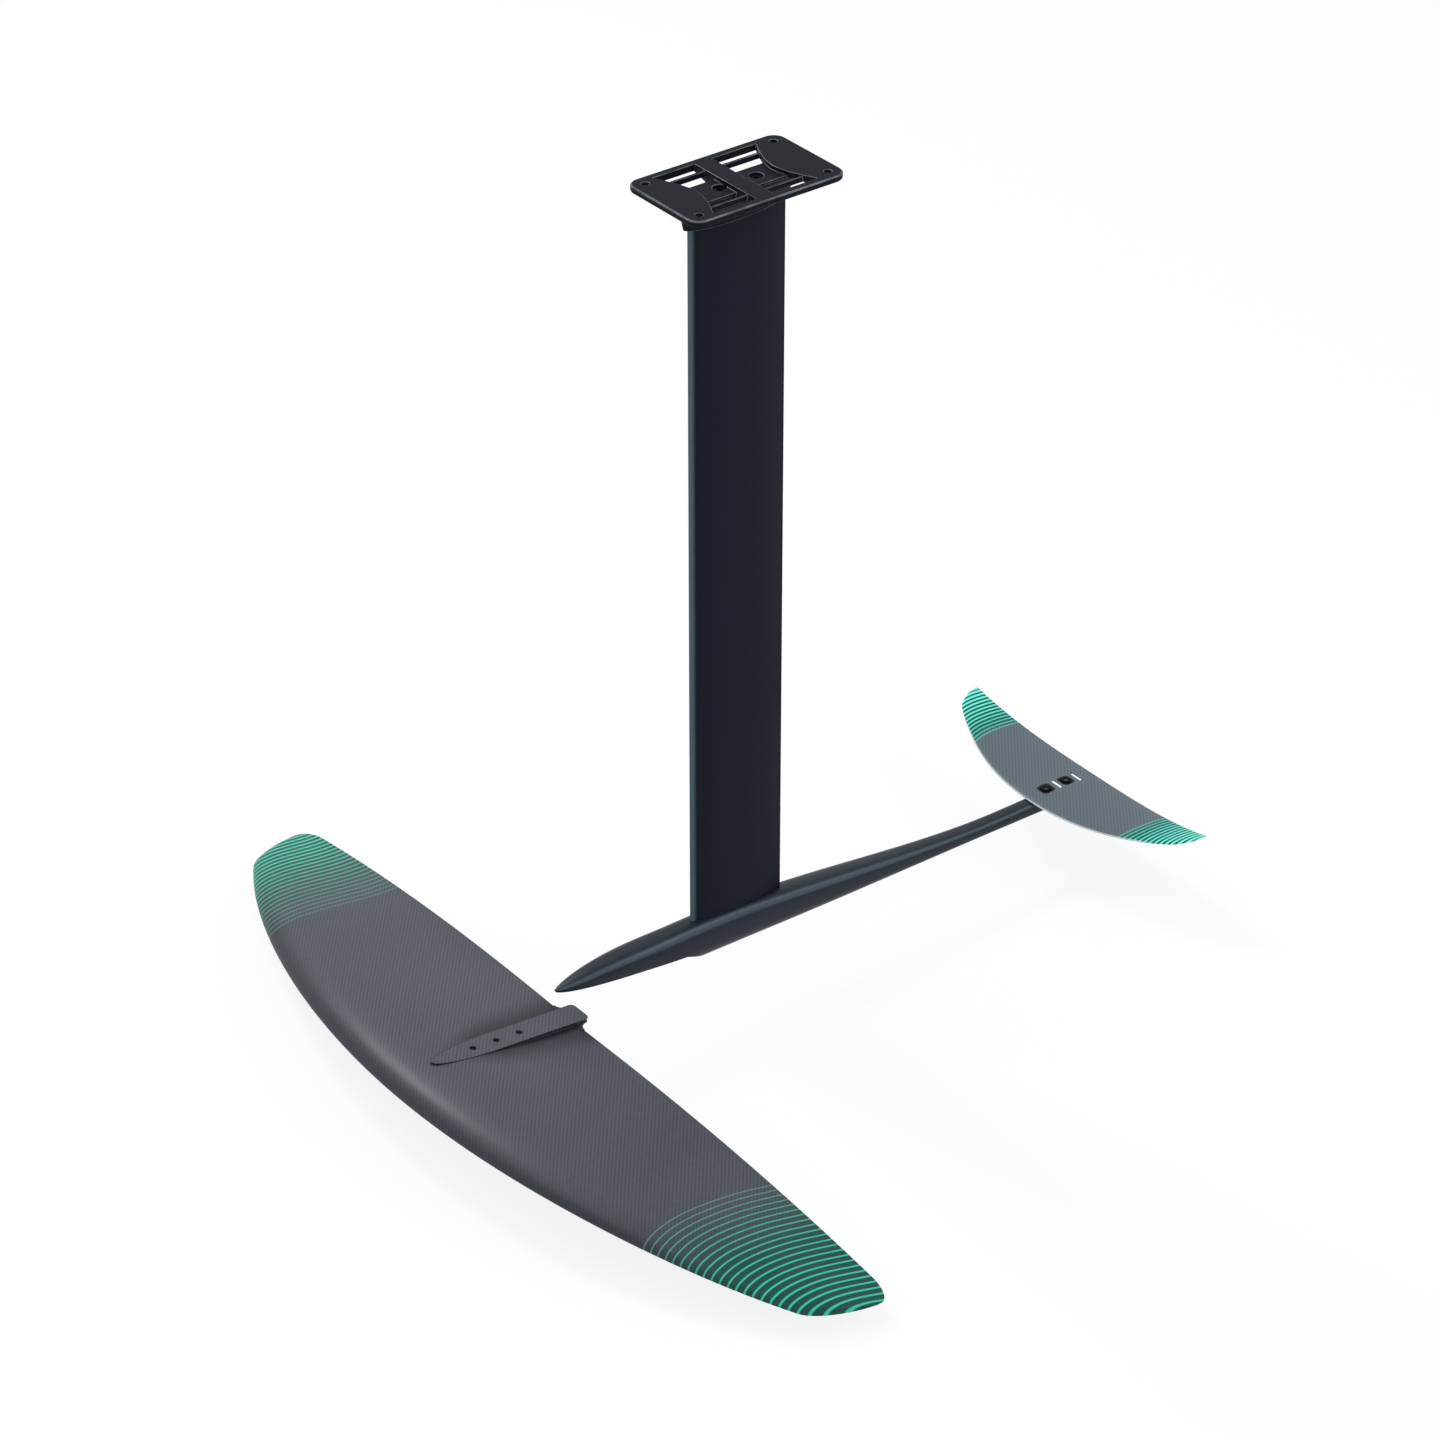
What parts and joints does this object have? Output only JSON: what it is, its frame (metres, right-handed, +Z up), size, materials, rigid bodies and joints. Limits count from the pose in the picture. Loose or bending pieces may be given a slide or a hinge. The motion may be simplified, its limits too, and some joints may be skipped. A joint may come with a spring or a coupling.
{
  "type": "hydrofoil mast wing",
  "caption": "Hydrofoil set for a board: cast top plate on a tall foil-section mast, tapering fuselage, rear stabiliser and a front wing laid out ahead of the nose.",
  "frame": {"origin": "middle of the top plate's board face", "axes": "+X aft along the fuselage, +Y to starboard, +Z up out of the board face"},
  "size_m": [0.992, 1.09, 0.9976],
  "materials": {
    "cast_plate": "satin",
    "mast_anodised": "satin",
    "fuselage_anodised": "satin",
    "stabilizer_moulding": "satin",
    "carbon_skin": "satin",
    "foam_core": "matte",
    "shim_plastic": "matte",
    "black_steel": "satin",
    "plain_steel": "satin",
    "insert_brass": "satin",
    "bush_alloy": "satin"
  },
  "bodies": {
    "foil": {"top_plate": "cast_plate", "mast_head_screws": "black_steel", "mast_head_washers": "plain_steel", "mast_head_inserts": "plain_steel", "mast_extrusion": "mast_anodised", "mast_foot_inserts": "plain_steel", "mast_foot_washers": "plain_steel", "mast_foot_screws": "black_steel", "fuselage": "fuselage_anodised", "nose_inserts": "insert_brass", "tail_inserts": "insert_brass", "stabilizer": "stabilizer_moulding", "stabilizer_shim": "shim_plastic", "stabilizer_washers": "black_steel", "stabilizer_screws": "black_steel"},
    "front_wing": {"front_wing_upper_skin": "carbon_skin", "front_wing_lower_skin": "carbon_skin", "front_wing_core": "foam_core", "front_wing_pad": "carbon_skin", "front_wing_bushes": "bush_alloy"},
    "wing_screws": {"front_wing_screws": "black_steel"}
  },
  "joints": [
    {"name": "front_wing_slide", "type": "slide", "parent": "foil", "child": "front_wing", "axis": [0.9843, 0, 0.1764], "range_m": [0, 0.13532]},
    {"name": "wing_screw_travel", "type": "slide", "parent": "front_wing", "child": "wing_screws", "axis": [0.0958, 0, 0.9954], "range_m": [0, 0.007]}
  ]
}
